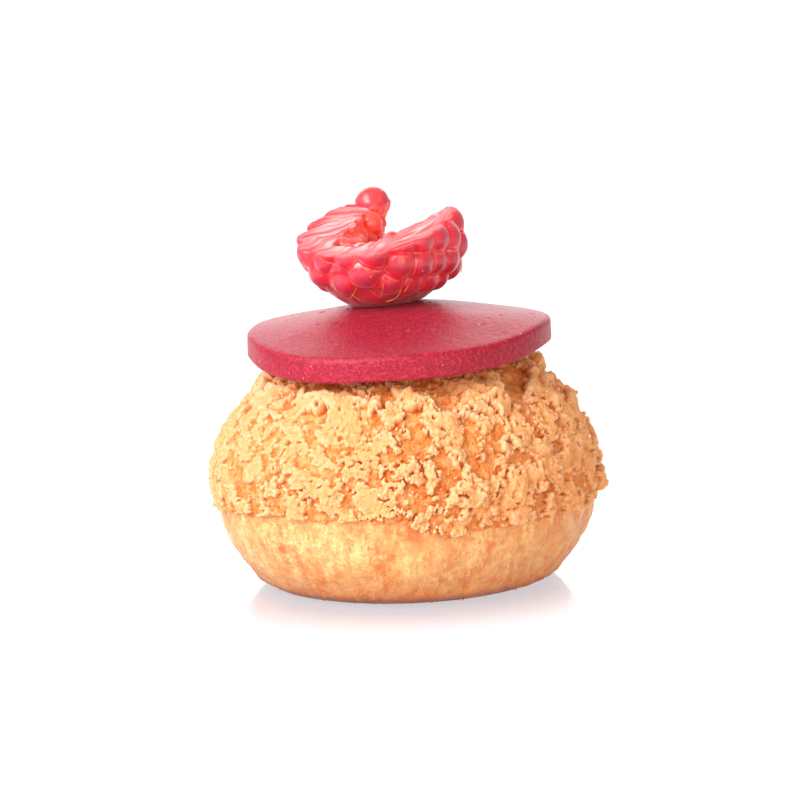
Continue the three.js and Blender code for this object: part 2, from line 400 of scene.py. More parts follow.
def planFactor(azimuth):
    return 1 + bun["ovalness"] * np.cos(2 * (azimuth - bun["ovalTurn"]))


def skinFrame(azimuth, z):  # point on the skin and the way out of it
    rise = (z - bun["widest"]) / curveHeight(z)
    radius = bun["radius"] * np.sqrt(np.maximum(0, 1 - rise**2)) * planFactor(azimuth)
    outward = radius / bun["radius"] ** 2
    upward = (z - bun["widest"]) / curveHeight(z) ** 2
    point = np.stack([radius * np.cos(azimuth), radius * np.sin(azimuth), z], axis=-1)
    normal = np.stack([outward * np.cos(azimuth), outward * np.sin(azimuth), upward], axis=-1)
    return point, normal / np.linalg.norm(normal, axis=-1, keepdims=True)


def skinLift(points):  # lumps and wrinkles of the skin
    seed = bun["seed"]
    height = points[:, 2]
    azimuth = np.arctan2(points[:, 1], points[:, 0])
    upright = np.stack([np.cos(azimuth) * bun["radius"], np.sin(azimuth) * bun["radius"],
                        height * bun["wrinkleStretch"]], axis=1)
    lift = layered(points, bun["lumps"])
    upSize, allSize = bun["wrinkleSize"]
    lift += bun["wrinkle"] * (lumps(upright, upSize, seed + 2) + rugged(points, allSize, seed + 3, 2, 0.6))
    lift -= bun["dent"] * ease(lumps(points, bun["dentSize"], seed + 5), 0.5, 0.95)
    fullness, low, high = bun["belly"]
    lift += fullness * (1 - ease(height, low, high))
    return lift * ease(height, 0.2, 1.5)  # the base stays flat


def makeSkin():
    middle = (0, 0, bun["widest"] * mm)
    dropPick()
    bpy.ops.mesh.primitive_uv_sphere_add(
        segments=bun["segments"], ring_count=bun["rings"], radius=bun["radius"] * mm, location=middle)
    skin = named("choux_skin")
    for side, rise in ((1, bun["crownRise"]), (-1, bun["keelDrop"])):
        pickVertices(skin, (pointsOf(skin)[:, 2] - bun["widest"]) * side > 0.01)
        bpy.ops.transform.resize(value=(1, 1, rise / bun["radius"]), center_override=middle)
    bpy.ops.mesh.select_all(action="SELECT")
    bpy.ops.mesh.bisect(plane_co=(0, 0, 0), plane_no=(0, 0, 1), use_fill=True, clear_inner=True)
    bpy.ops.mesh.bevel(offset=bun["baseRound"] * mm, segments=4, affect="EDGES")
    bpy.ops.object.mode_set(mode="OBJECT")

    points = pointsOf(skin)
    points[:, :2] *= planFactor(np.arctan2(points[:, 1], points[:, 0]))[:, None]
    setPoints(skin, points + normalsOf(skin) * skinLift(points)[:, None])
    smooth(skin)
    return skin


skinLook = {
    "gold": colour(236, 160, 92),
    "pale": colour(252, 212, 146),
    "amber": colour(214, 110, 46),
    "mark": colour(186, 88, 40),
    # browned foot and painted contact shade at the base
    "brown": colour(138, 64, 36),
    # painted shade: skin seen in the crust's cracks
    "crack": colour(220, 122, 58),
    "streakStretch": 0.42,
    # noises: size, detail, roughness
    "streak": (0.8, 3.0, 0.6),
    "wide": (2.56, 2.0, 0.5),
    "blotch": (6, 3.0, 0.55),
    "mottle": (1.6, 4.0, 0.65),
    "small": (0.9, 3.0, 0.6),
    "fine": (0.4, 3.0, 0.65),
    "bump": 0.5,
    "hem": 13.4,
}


def shadedSideShare(finish, at):  # painted shade: the right, away from the key light, is painted a little darker
    return finish.ease(finish.axis(at, "X") / mm, *bun["shadedSide"])


def skinFinish():
    look = skinLook
    finish = Finish("choux_skin", {"Specular IOR Level": 0.42, "Subsurface Weight": 0.12,
                                   "Subsurface Radius": (1.0, 0.45, 0.15), "Subsurface Scale": 0.8 * mm})
    at = finish.place()
    height = finish.axis(at, "Z") / mm
    rim = finish.vector("NORMALIZE", finish.vector("MULTIPLY", at, (1, 1, 0)), (0, 0, 0))
    rim = finish.vector("MULTIPLY", rim, (bun["radius"] * mm,) * 3)
    streakAt = finish.vector("ADD", rim, finish.vector("MULTIPLY", at, (0, 0, look["streakStretch"])))
    streak, wide = (finish.noise(streakAt, *look[n]) for n in ("streak", "wide"))
    blotch, mottle, small, fine = (finish.noise(at, *look[n]) for n in ("blotch", "mottle", "small", "fine"))
    tone = blotch * 0.3 + mottle * 0.3 + small * 0.2 + fine * 0.2
    base = finish.lay(look["gold"], look["amber"], tone, 0.43, 0.58)
    upper = finish.ease(height + blotch * 4, 3.5, 8) * 0.75 + 0.25
    light = streak * 0.2 + wide * 0.2 + small * 0.25 + fine * 0.35
    base = finish.lay(base, look["pale"], light, 0.45, 0.58, upper * 0.9)
    base = finish.lay(base, look["amber"], small * 0.5 + mottle * 0.5, 0.55, 0.64, 0.55)
    base = finish.lay(base, look["mark"], fine * 0.7 + small * 0.3, 0.53, 0.63, 0.4)
    # painted shade: the skin's right side is painted more amber
    base = finish.mix(shadedSideShare(finish, at) * 0.2, base, look["amber"])
    # darker and browner towards the base: partly the browned foot, partly painted contact shade
    foot = 1 - finish.ease(height + mottle * 1.6, 0.9, 4.4)
    base = finish.mix(foot * 0.45, base, look["amber"])
    edge = 1 - finish.ease(height + mottle * 1.4, 1.0, 2.8)
    base = finish.mix(edge * 0.9, base, look["brown"])
    # painted shade: the skin above the hem, seen in the crust's cracks, is painted deeper orange
    base = finish.lay(base, look["crack"], height, look["hem"] - 0.8, look["hem"] + 1.4, 0.8)
    rough = 0.28 + blotch * 0.16 + fine * 0.1
    normal = finish.bump(streak * 0.1 + small * 0.4 + mottle * 0.25 + fine * 0.25, look["bump"])
    return finish.paint({"Base Color": base, "Roughness": rough, "Normal": normal})


skin = makeSkin()
dress(skin, skinFinish(), "choux_bun")


# Disc of paste: its form is needed by the crust below it

disc = {
    "radius": 21.5,
    "thickness": 3.5,
    "sideSag": 1.5,
    "frontSag": 2.3,
    "cornerSag": 3,  # of the two front corners, a quarter of it at 45 degrees
    "rightTwist": 1.75,
    "rightPoint": 0.012,
    "rightSharpness": 8,
    "dome": (0.9, 4, 20.5),  # how far the top swells, and the radius where that starts to fall off and ends
    "topRound": 0.7,
    "bottomRound": 0.25,
    "centre": (-0.5, 0.0),
    "underside": 34.85,
    "lean": math.radians(1.1),
    "roll": math.radians(1.3),
    "steps": 180,
    "voxel": 0.2,
    "grain": 0.022,
    "grainSize": (0.75, 0.4),
    "wave": (6, 0.1),  # slow hand-rolled waves: size, height
    "pit": (1.1, 0.72, 0.6),  # small holes: spacing, how rare, depth
    "seed": 31,
}


def discUnderside(x, y):
    dx = x - disc["centre"][0]
    dy = y - disc["centre"][1]
    across = dx / disc["radius"]
    along = dy / disc["radius"]
    sag = disc["sideSag"] * across**2 + disc["frontSag"] * along**2
    sag = sag + disc["rightTwist"] * np.maximum(0, across) ** 2 * along
    sag = sag + disc["cornerSag"] * across**2 * np.minimum(0, along) ** 2
    return disc["underside"] + dx * math.tan(disc["roll"]) + dy * math.tan(disc["lean"]) - sag


def discDome(x, y):
    rise, near, far = disc["dome"]
    return rise * (1 - ease(np.hypot(x - disc["centre"][0], y - disc["centre"][1]), near, far))


def discTop(x, y):
    return discUnderside(x, y) + disc["thickness"] + discDome(x, y)


def makeDisc():
    radius, thick, seed = disc["radius"], disc["thickness"], disc["seed"]
    profile = [(0, 0, 0), (radius - disc["bottomRound"], 0, 0)]
    for corner, rise, turn in ((disc["bottomRound"], disc["bottomRound"], -0.5),
                               (disc["topRound"], thick - disc["topRound"], 0)):
        for i in range(7):
            angle = math.pi * (turn + 0.5 * i / 6)
            profile.append((radius - corner + corner * math.cos(angle), 0, rise + corner * math.sin(angle)))
    profile.append((0, 0, thick))
    paste = spun("paste_round", profile, (0, 0, 1), disc["steps"])
    remesh(paste, disc["voxel"])
    applyModifier(paste, "SMOOTH", {"factor": 0.5, "iterations": 2})

    points = pointsOf(paste)
    normals = normalsOf(paste)
    coarse, fine = disc["grainSize"]
    grain = disc["grain"] * (lumps(points, coarse, seed) + 0.7 * lumps(points, fine, seed + 1))
    grain += disc["wave"][1] * lumps(points, disc["wave"][0], seed + 2)
    spacing, rare, deep = disc["pit"]
    pits = np.clip(lumps(points, spacing, seed + 3) - rare, 0, 1)
    points += normals * (grain - deep * pits)[:, None]
    azimuth = np.arctan2(points[:, 1], points[:, 0])
    point = np.maximum(0, np.cos(azimuth)) ** disc["rightSharpness"]
    points[:, :2] *= (1 + disc["rightPoint"] * point)[:, None]
    points[:, :2] += disc["centre"]
    points[:, 2] += discDome(points[:, 0], points[:, 1]) * np.clip(points[:, 2] / thick, 0, 1)
    points[:, 2] += discUnderside(points[:, 0], points[:, 1])
    setPoints(paste, points)
    thin(paste)
    smooth(paste)
    return paste


pasteLook = {
    "body": colour(172, 18, 48),
    "deep": colour(146, 10, 36),
    "bright": colour(214, 66, 94),
    "speck": colour(250, 170, 178),
    # noises: size, detail, roughness
    "grain": (0.5, 3.0, 0.65),
    "fine": (0.2, 2.0, 0.7),
    "cloud": (5, 2.0, 0.5),
    "speckSpacing": 1.9,
    "bump": 0.18,
}


def pasteFinish():
    look = pasteLook
    finish = Finish("raspberry_paste", {"Specular IOR Level": 0.31, "Subsurface Weight": 0.1,
                                        "Subsurface Radius": (1.0, 0.2, 0.2), "Subsurface Scale": 0.6 * mm,
                                        "Sheen Weight": 0.03, "Sheen Roughness": 0.5})
    at = finish.place()
    grain, fine, cloud = (finish.noise(at, *look[n]) for n in ("grain", "fine", "cloud"))
    spots = 1 - finish.ease(finish.cells(at, look["speckSpacing"]), 0.05, 0.1)
    base = finish.lay(look["deep"], look["body"], grain * 0.5 + fine * 0.5, 0.42, 0.57)
    base = finish.lay(base, look["bright"], grain * 0.45 + fine * 0.55, 0.5, 0.64, 0.55)
    base = finish.lay(base, look["speck"], grain, 0.5, 0.6, spots)
    rough = 0.26 + cloud * 0.08 + fine * 0.1
    normal = finish.bump(grain * 0.6 + fine * 0.4, look["bump"])
    return finish.paint({"Base Color": base, "Roughness": rough, "Normal": normal})


paste = makeDisc()
dress(paste, pasteFinish(), "paste_disc")


# Craquelin: a biscuit crust cracked into granular plates

crust = {
    "seed": 20417,
    "plateCount": 102,
    "lowestPlate": 13.6,
    "highestPlate": 32.9,
    "plateReach": (2.4, 3.7),
    "plateProud": (0.75, 1.65),
    "plateLift": (0.3, 0.7),  # what plates stand on, and the share of their own height that shows
    "turnWander": (-0.175, 0.175),
    "rowWander": (-3, 3),
    "hemHeight": 11.9,
    "hemWave": 0.45,
    "hemRagged": ((3.4, 0.35, 21), (1.6, 0.3, 22), (0.6, 0.14, 23)),  # size, height and seed
    "hemThickness": (0.5, 1.25),
    "hemPatch": 4,  # size of the places where the hem is thick or thin
    # where the hem is higher: middle, reach up to which it is full, reach where it ends, how far
    "hemRise": (math.radians(-140), math.radians(40), math.radians(62), 1.25),
    "flap": (math.radians(-81), math.radians(9), 0.9),  # where the hem hangs lower, how wide, how far
    # bare places: azimuth in degrees, height, reach
    "bare": [(-128, 29.2, 3.6), (-76, 28.4, 3.2), (-34, 28.9, 3.6), (-6, 22.3, 5), (9, 22.5, 5),
             (75, 27.5, 3.6), (150, 26.5, 3.2), (177, 29.8, 2.8)],
    "bareShare": 0.5,  # how much of a bare place no crumb has fallen on
    "flake": (math.radians(188), 28.3, 2.1, 2.3),  # azimuth, height, reach, proud
    "columns": 1600,  # of the net that the crust is drawn on
    "lowRows": 98,  # from the hem to the split
    "highRows": 112,  # from the split to the top
    "split": 21.5,  # height where the crown takes over from the skirt
    "top": 32.6,
    "thinTop": (30.8, 32.5),  # heights between which plates lose half of their height, under the disc
    "bend": ((2.6, 0.9), (1.1, 0.45)),  # how plate edges wander: size and reach
    "calm": (-9, 11),  # how far left of the middle broad plates start to take over from clumps, and have done
    "fullness": (0.1, 0.04, 0.08),  # of the cover all over, further on the calm side, further on the skirt
    "skirt": (15.5, 21),  # heights between which the skirt ends
    "holeSize": 2.3,
    "crackSize": 4.6,
    "crackWidth": 0.07,
    "crackPatch": 5,  # size of the places where cracks are open or shut
    "ringHeight": 28.8,  # plates that stand up round the disc
    "ringWidth": 1.7,
    "ringPatch": 3.2,
    "ringRise": 0.8,
    # where no plate stands up: middle, reach up to which there is none, reach from which all are back
    "ringGap": (math.radians(173), math.radians(19), math.radians(25)),
    "bedding": 0.4,  # thin rough layer between the plates
    "pit": 2.2,  # spacing of the pinholes
    "grains": ((1.0, 0.2, 0.22), (0.55, 0.17, 0.3), (0.32, 0.1, 0.14)),  # size, rise and bite into the edges
    "grainMiddle": 0.72,  # what grains are on average
    "lump": (2.3, 1.0),  # size and rise of the clumps on the right
    "swell": (3.4, 0.3),  # size and rise of the slow lumps all over
    "undercut": 0.08,
    "inside": 0.4,  # how far the hidden side lies under the skin
    "innerRows": 4,
}


def hemHeightAt(azimuth):
    wave = np.sin(3 * azimuth + 0.7) + 0.6 * np.sin(7 * azimuth)
    middle, width, drop = crust["flap"]
    hem = crust["hemHeight"] + crust["hemWave"] * wave - drop * np.exp(-((azimuth - middle) / width) ** 2)
    middle, near, far, rise = crust["hemRise"]
    return hem + rise * (1 - ease(np.abs(halfTurns(azimuth - middle)), near, far))


def plateList():
    random = draws(crust["seed"])
    bare = [skinFrame(np.radians(a), np.float64(z))[0] for a, z, _ in crust["bare"]]
    rows = []
    for i in range(crust["plateCount"]):
        azimuth = i * golden + between(crust["turnWander"], next(random))
        share = (i + 0.5 + between(crust["rowWander"], next(random))) / crust["plateCount"]
        height = between((crust["lowestPlate"], crust["highestPlate"]), min(max(share, 0), 1))
        reach = between(crust["plateReach"], next(random))
        next(random)  # the solid's plates draw a stretch here, and a turn below
        proud = between(crust["plateProud"], next(random))
        next(random)
        point = skinFrame(np.float64(azimuth), np.float64(height))[0]
        if all(np.linalg.norm(point - b) >= patch[2] for b, patch in zip(bare, crust["bare"])):
            rows.append((*point, reach, proud))
    azimuth, height, reach, proud = crust["flake"]
    rows.append((*skinFrame(np.float64(azimuth), np.float64(height))[0], reach, proud))
    return np.array(rows), np.array(bare)


def domeSpots(spacing, seed):  # even seeded spots all over the dome above the hem
    random = np.random.default_rng(seed)
    z = np.linspace(crust["hemHeight"], crust["top"], 4000)
    c = curveHeight(z)
    u = (z - bun["widest"]) / c
    area = 2 * math.pi * np.sqrt(bun["radius"] ** 2 * (1 - u**2) + (bun["radius"] ** 2 * u / c) ** 2)
    total = np.concatenate([[0], np.cumsum((area[1:] + area[:-1]) / 2 * np.diff(z))])
    count = int(total[-1] / (spacing**2 * 0.866))
    share = (np.arange(count) + random.uniform(0, 1, count)) / count
    height = np.interp(share * total[-1], total, z)
    azimuth = np.arange(count) * golden + random.uniform(-0.5, 0.5, count) * spacing / bun["radius"]
    return halfTurns(azimuth), height, random


def halfTurns(angle):  # the same angle between minus and plus half a turn
    return (angle + math.pi) % (2 * math.pi) - math.pi


def nearest(points, centres, reaches):  # share of the reach to the nearest centre
    gaps = [np.linalg.norm(points - centre, axis=1) / reach for centre, reach in zip(centres, reaches)]
    return np.min(gaps, axis=0)


def overPlates(points, plates):  # share of the reach to the nearest plate, and how proud the plates are there
    best = np.full(len(points), 1e9)
    total = np.zeros(len(points))
    weight = np.full(len(points), 1e-9)
    for x, y, z, reach, proud in plates:
        gap = np.linalg.norm(points - (x, y, z), axis=1) / reach
        share = np.exp(-5 * gap**2)
        total += share * proud
        weight += share
        best = np.minimum(best, gap)
    return best, np.where(weight > 1e-6, total / weight, crust["plateProud"][0])


def crustForm(azimuth, height, above):  # skin below, way out, height over it and how much of a plate it is
    seed = crust["seed"]
    points, normals = skinFrame(azimuth, height)
    plates, bare = plateList()
    bend = sum(reach * np.stack([lumps(points, size, seed + 3 * i + k) for k in range(3)], axis=1)
               for i, (size, reach) in enumerate(crust["bend"]))
    gap, proud = overPlates(points + bend, plates)
    calm = ease(-points[:, 0], *crust["calm"])
    lively = 1 - calm
    grains = [grainy(points, size, seed + i) - crust["grainMiddle"]
              for i, (size, _, _) in enumerate(crust["grains"])]
    rough = sum(rise * grain for grain, (_, rise, _) in zip(grains, crust["grains"]))
    clumpSize, clumpRise = crust["lump"]
    clump = grainy(points + bend * 0.5, clumpSize, seed + 30) - crust["grainMiddle"]

    # cover, above zero where a plate lies: holes, cracks, ragged edges and pinholes
    full, fullCalm, fullSkirt = crust["fullness"]
    skirt = 1 - ease(height, *crust["skirt"])
    cover = rugged(points + bend * 0.4, crust["holeSize"], seed + 7, 3, 0.5)
    cover = cover + full + fullCalm * calm + fullSkirt * skirt
    cover += 0.12 * np.clip(1.3 - gap, -0.6, 0.7) + 0.15 * lively * clump
    crack = np.abs(rugged(points + bend * 0.6, crust["crackSize"], seed + 15, 4, 0.5))
    opened = 2.4 * ease(lumps(points, crust["crackPatch"], seed + 8), -0.3, 0.6) - 1.2
    cover = np.minimum(cover, (crack - crust["crackWidth"] * opened) * 2.2)
    cover += sum(bite * grain for grain, (_, _, bite) in zip(grains, crust["grains"]))
    cover -= 0.7 * ease(grainy(points + bend * 0.3, crust["pit"], seed + 31), 0.93, 0.98)

    # the ring round the disc, the flake and the bare places
    ring = np.exp(-((height - crust["ringHeight"]) / crust["ringWidth"]) ** 2)
    middle, near, far = crust["ringGap"]
    stands = ease(lumps(points, crust["ringPatch"], seed + 19), -0.3, 0.2)
    stands = stands * ease(np.abs(halfTurns(azimuth - middle)), near, far)
    cover += 0.35 * ring * (2 * stands - 1)
    flakeTurn, flakeHeight, flakeReach, flakeProud = crust["flake"]
    flakeSpot = skinFrame(np.float64(flakeTurn), np.float64(flakeHeight))[0]
    flake = 1 - ease(np.linalg.norm(points + bend * 0.6 - flakeSpot, axis=1) / flakeReach, 0.6, 1.1)
    cover += 1.2 * flake
    bareReaches = [reach * crust["bareShare"] for _, _, reach in crust["bare"]]
    bareGap = nearest(points + bend * 0.8, bare, bareReaches)
    cover -= 1.2 * (1 - ease(bareGap, 0.75, 1.15))
    plate = ease(cover, -0.02, 0.07)

    # height of the plates, of the bedding between them and of the hem
    proud *= (0.9 + 0.25 * lively) * (1 + (0.1 + 0.1 * lively) * lumps(points, 1.9, seed + 12))
    proud *= 1 + crust["ringRise"] * ring * stands
    proud = np.maximum(proud, flakeProud * flake) * (1 - 0.5 * ease(height, *crust["thinTop"]))
    shoulder = (0.2 + 0.15 * lively) * (1 - ease(cover, 0.0, 0.45))
    stand, shows = crust["plateLift"]
    top = stand + shows * proud * (1 - shoulder) + 0.12 * lumps(points, 0.9, seed + 11)
    top = top + rough + clumpRise * lively * clump
    floor = crust["bedding"] + 0.3 * rugged(points, 0.9, seed + 18, 3, 0.7) + rough
    floor *= ease(bareGap, 0.5, 1.3)
    swellSize, swellRise = crust["swell"]
    lift = floor + (top - floor) * plate + swellRise * lumps(points, swellSize, seed + 40) * plate
    edge = between(crust["hemThickness"], ease(lumps(points, crust["hemPatch"], seed + 17), -0.4, 0.4))
    lift = np.minimum(lift, edge + 2 * ease(above, 0, 1)) + 0.6 * rough * (1 - ease(above, 0.3, 1.5))
    return points + normals * skinLift(points)[:, None], normals, np.maximum(lift, 0.03), plate


def crustNet():  # azimuth, height and height over the hem, rows going up and columns going round
    turn = (np.arange(crust["columns"]) / crust["columns"] * 2 - 0.5) * math.pi
    rim = skinFrame(turn, np.full(crust["columns"], float(crust["hemHeight"])))[0]
    hem = hemHeightAt(halfTurns(turn)) + layered(rim, crust["hemRagged"])
    low = hem + (crust["split"] - hem) * np.linspace(0, 1, crust["lowRows"] + 1)[:, None]
    start, end = (math.asin((z - bun["widest"]) / bun["crownRise"])
                  for z in (crust["split"], crust["top"]))
    bow = start + (end - start) * np.linspace(0, 1, crust["highRows"] + 1)[1:] ** 1.2
    high = bun["widest"] + bun["crownRise"] * np.sin(bow)
    height = np.vstack([low, np.repeat(high[:, None], crust["columns"], axis=1)])
    return np.broadcast_to(turn, height.shape), height, height - hem


def evened(field, rounds):  # over the net
    for _ in range(rounds):
        field = (field + np.roll(field, 1, axis=1) + np.roll(field, -1, axis=1)) / 3
        field = (field + np.vstack([field[:1], field[:-1]]) + np.vstack([field[1:], field[-1:]])) / 3
    return field


def drawCrust():  # outer and inner points of the net, with what the finish reads
    azimuth, height, above = crustNet()
    shape = height.shape
    points, normals, lift, plate = crustForm(azimuth.ravel(), height.ravel(), above.ravel())
    lift, plate = lift.reshape(shape), plate.reshape(shape)
    outer = (points + normals * lift.reshape(-1, 1)).reshape(*shape, 3)
    inner = (points - normals * crust["inside"]).reshape(*shape, 3)

    # plates lean out over the gaps beside them
    soft = evened(plate, 3)
    base = points.reshape(*shape, 3)
    across = np.roll(base, -1, axis=1) - np.roll(base, 1, axis=1)
    upward = np.gradient(base, axis=0)
    acrossSize = np.linalg.norm(across, axis=2, keepdims=True)
    upwardSize = np.linalg.norm(upward, axis=2, keepdims=True)
    slope = (np.roll(soft, -1, axis=1) - np.roll(soft, 1, axis=1))[..., None] * across / acrossSize**2
    slope = slope + np.gradient(soft, axis=0)[..., None] * upward / upwardSize**2
    steep = np.linalg.norm(slope, axis=2, keepdims=True)
    lean = slope / np.maximum(steep, 1e-6) * np.minimum(steep * 0.3, 1) * crust["undercut"]
    outer = outer - lean * ease(lift, 0.35, 0.9)[..., None]

    fromMiddle = np.hypot(outer[..., 0] - disc["centre"][0], outer[..., 1] - disc["centre"][1])
    ceiling = discUnderside(outer[..., 0], outer[..., 1]) - 0.06
    underDisc = fromMiddle < disc["radius"] + 0.6
    outer[..., 2] = np.where(underDisc, np.minimum(outer[..., 2], ceiling), outer[..., 2])
    # the last is the crest, the height over the evened height: the finish paints it as painted highlight on
    # rims and painted shade in hollows
    return outer, inner, plate, lift - evened(lift, 10)


def makeCrust(name, net, rows, columns):  # one closed piece: drawn side, hidden side and the walls between
    outer, inner, plate, crest = (field[rows[0]:rows[1] + 1][:, columns] for field in net)
    tall, wide = len(outer), len(columns)
    kept = np.linspace(0, tall - 1, crust["innerRows"] + 1).astype(int)
    front = np.arange(tall * wide).reshape(tall, wide)
    back = tall * wide + np.arange(len(kept) * wide).reshape(len(kept), wide)
    faces = [sheetFaces(front), sheetFaces(back[::-1]),
             sheetFaces(np.stack([back[0], front[0]])), sheetFaces(np.stack([front[-1], back[-1]]))]
    for column, way in ((0, 1), (-1, -1)):
        for i, (low, high) in enumerate(zip(kept[:-1], kept[1:])):
            edge = front[low:high + 1, column]
            wall = [(back[i, column], a, b)[::way] for a, b in zip(edge[1:], edge[:-1])]
            wall.append((back[i, column], back[i + 1, column], edge[-1])[::way])
            faces.append(np.array(wall))
    points = np.concatenate([outer.reshape(-1, 3), inner[kept].reshape(-1, 3)])
    piece = pieceFrom(name, points, np.concatenate(faces))
    for value, field in (("plate", plate), ("crest", crest)):
        keepValue(piece, value, np.concatenate([field.ravel(), field[kept].ravel()]))
    smooth(piece)
    return piece


def sheetFaces(index):  # triangles of a sheet of points, facing where columns run right and rows up
    a, b, c, d = index[:-1, :-1], index[:-1, 1:], index[1:, 1:], index[1:, :-1]
    return np.concatenate([np.stack(corners, axis=-1).reshape(-1, 3) for corners in ((a, b, c), (a, c, d))])


crustLook = {
    "pale": colour(243, 186, 140),
    "gold": colour(235, 164, 102),
    "amber": colour(222, 126, 60),
    # painted shade for the hollows between plates
    "deep": colour(196, 94, 38),
    # painted shade for the gaps on the right
    "shadedGap": colour(206, 136, 86),
    # noises: size, detail, roughness
    "grain": (0.45, 3.0, 0.65),
    "fine": (0.2, 2.0, 0.6),
    "cloud": (5, 3.0, 0.5),
    "mottle": (1.3, 3.0, 0.6),
    "bump": 0.2,
}


def crustFinish():
    look = crustLook
    finish = Finish("craquelin", {"Specular IOR Level": 0.25, "Subsurface Weight": 0.4,
                                  "Subsurface Radius": (1.0, 0.5, 0.25), "Subsurface Scale": 0.8 * mm})
    at = finish.place()
    plate = finish.value("plate")
    crest = finish.value("crest")
    grain, fine, cloud, mottle = (finish.noise(at, *look[n]) for n in ("grain", "fine", "cloud", "mottle"))
    shadedSide = shadedSideShare(finish, at)
    gap = finish.lay(look["amber"], look["gold"], mottle, 0.42, 0.6)
    # painted shade: the gaps on the right are painted duller
    gap = finish.mix(shadedSide * 0.5, gap, look["shadedGap"])
    base = finish.lay(gap, look["gold"], plate + (grain - 0.5) * 0.4, 0.2, 0.8)
    # painted highlight: crests and plate rims are painted paler, with random tone from the noise
    light = crest * 2.0 + (cloud - 0.5) * 0.5 + (grain - 0.5) * 0.6
    base = finish.lay(base, look["pale"], light, -0.1, 0.45, plate)
    # painted shade in the hollows beside plate edges, more on the shaded right
    hollow = 1 - finish.ease(crest, -0.4, -0.08)
    base = finish.mix(hollow * (0.6 + shadedSide * 0.25), base, look["deep"])
    base = finish.lay(base, look["amber"], fine, 0.58, 0.74, 0.2)
    # painted shade: the crust's right side is painted more amber
    base = finish.mix(shadedSide * 0.18, base, look["amber"])
    rough = 0.62 + grain * 0.2
    normal = finish.bump(grain * 0.5 + fine * 0.5, look["bump"])
    return finish.paint({"Base Color": base, "Roughness": rough, "Normal": normal})


craquelin = crustFinish()
crustField = drawCrust()
half = crust["columns"] // 2
rightColumns = np.arange(half + 1)
leftColumns = (np.arange(half + 1) + half) % crust["columns"]
lowSpan = (0, crust["lowRows"])
highSpan = (crust["lowRows"], crust["lowRows"] + crust["highRows"])
for part, span in (("crown", highSpan), ("skirt", lowSpan)):
    for side, columns in (("left", leftColumns), ("right", rightColumns)):
        dress(makeCrust(f"crust_{part}_{side}", crustField, span, columns), craquelin, "choux_bun")


# Crumbs caught on the crust

crumbled = {
    "spacing": 1.25,
    "size": (0.12, 0.36),
    "sunk": 0.15,  # share of its size that a crumb lies in the crust
    "squash": (0.7, 1.2),
    "crest": 0.06,  # how raised the crumbs read for the finish, which paints raised places paler as a painted highlight
    "seed": 41,
}


def turnedFrames(random, sizes, squash):  # a random turn and size for each copy
    q = random.normal(size=(len(sizes), 4))
    q /= np.linalg.norm(q, axis=1, keepdims=True)
    w, x, y, z = q.T
    turn = np.stack([1 - 2 * (y * y + z * z), 2 * (x * y - z * w), 2 * (x * z + y * w),
                     2 * (x * y + z * w), 1 - 2 * (x * x + z * z), 2 * (y * z - x * w),
                     2 * (x * z - y * w), 2 * (y * z + x * w), 1 - 2 * (x * x + y * y)], axis=1)
    turn = turn.reshape(-1, 3, 3)
    stretch = sizes[:, None] * random.uniform(*squash, (len(sizes), 3))
    return turn * stretch[:, None, :]


def makeCrumbled():
    azimuth, height, random = domeSpots(crumbled["spacing"], crumbled["seed"])
    above = height - hemHeightAt(azimuth)
    points, normals, lift, plate = crustForm(azimuth, height, above)
    size = between(crumbled["size"], random.uniform(0, 1, len(points)) ** 2)
    spots = points + normals * (lift - size * crumbled["sunk"])[:, None]
    ceiling = discUnderside(spots[:, 0], spots[:, 1]) - 0.2
    clear = (plate > 0.6) & (above > 1.2) & (spots[:, 2] + size < ceiling)
    frames = turnedFrames(random, size[clear], crumbled["squash"])
    piece = pieceFrom("crust_crumbs", *copies(crumbForm, spots[clear], frames))
    keepValue(piece, "plate", np.ones(len(piece.data.vertices)))
    keepValue(piece, "crest", np.full(len(piece.data.vertices), crumbled["crest"]))
    return piece


crumbForm = ballShape("crumb_shape", 1)
sprinkled = makeCrumbled()
dress(sprinkled, craquelin, "choux_bun")


# Half raspberry: drupelets round a core, cut by a tilted knife path

berry = {
    "apexReach": 12.3,
    "stemReach": 9,
    "stemFullness": 0.62,
    "width": 10.6,
    "drupeletRadius": 2.35,
    "drupeletInset": 1.75,
    "drupeletPitch": 3.8,
    "drupeletStretch": (0.92, 1.08),
    "drupeletGrowth": (0.94, 1.06),
    "ringSpacing": 0.86,
    "endInset": 1.6,
    "coreInset": 0.9,
    "seamFill": 0.08,
    "depthShare": 0.79,
    "hollowLength": 16.5,
    "hollowMouth": 6.3,
    "hollowTip": 3.2,
    "hollowLift": 2,
    "cutHeight": 2.4,
    "cutLean": math.radians(10.5),
    "cutRoll": math.radians(7),
    "bodyRoll": math.radians(5),
    "heading": math.radians(53),
    "centre": (-2.7, 5.4, 47.816),
    "standing": [((-0.9, 8.8, 4.4), 2.45), ((-1.0, 6.0, 1.5), 1.7)],
    "seed": 733,
    "voxel": 0.15,
    "rings": 40,  # of the core and of the hollow
    "steps": 72,
    "streakFrom": 7,  # place on the long axis that the cut's streaks fan out from
    "streaks": 52,
    "streakDepth": 0.14,
    "liningPitch": 2.3,
    "liningRadius": 1.15,
    "liningLumps": ((1.5, 0.3, 43), (0.6, 0.12, 44)),  # size, height and seed
    "skinLumps": ((1.5, 0.07, 48), (0.7, 0.035, 45)),
    "swell": (-6.0, 7.0, 4.5, 0.9),  # where the rim stands higher: x, y, reach, height
    # small drupelets that close the apex: place on the long axis, distance from it, how many, radius
    "apex": [(-10.5, 2.7, 4, 1.95), (-11.3, 0.0, 1, 1.75)],
}
berryTurn = np.array(Matrix.Rotation(berry["bodyRoll"], 3, "Y") @ Matrix.Rotation(berry["heading"], 3, "Z"))
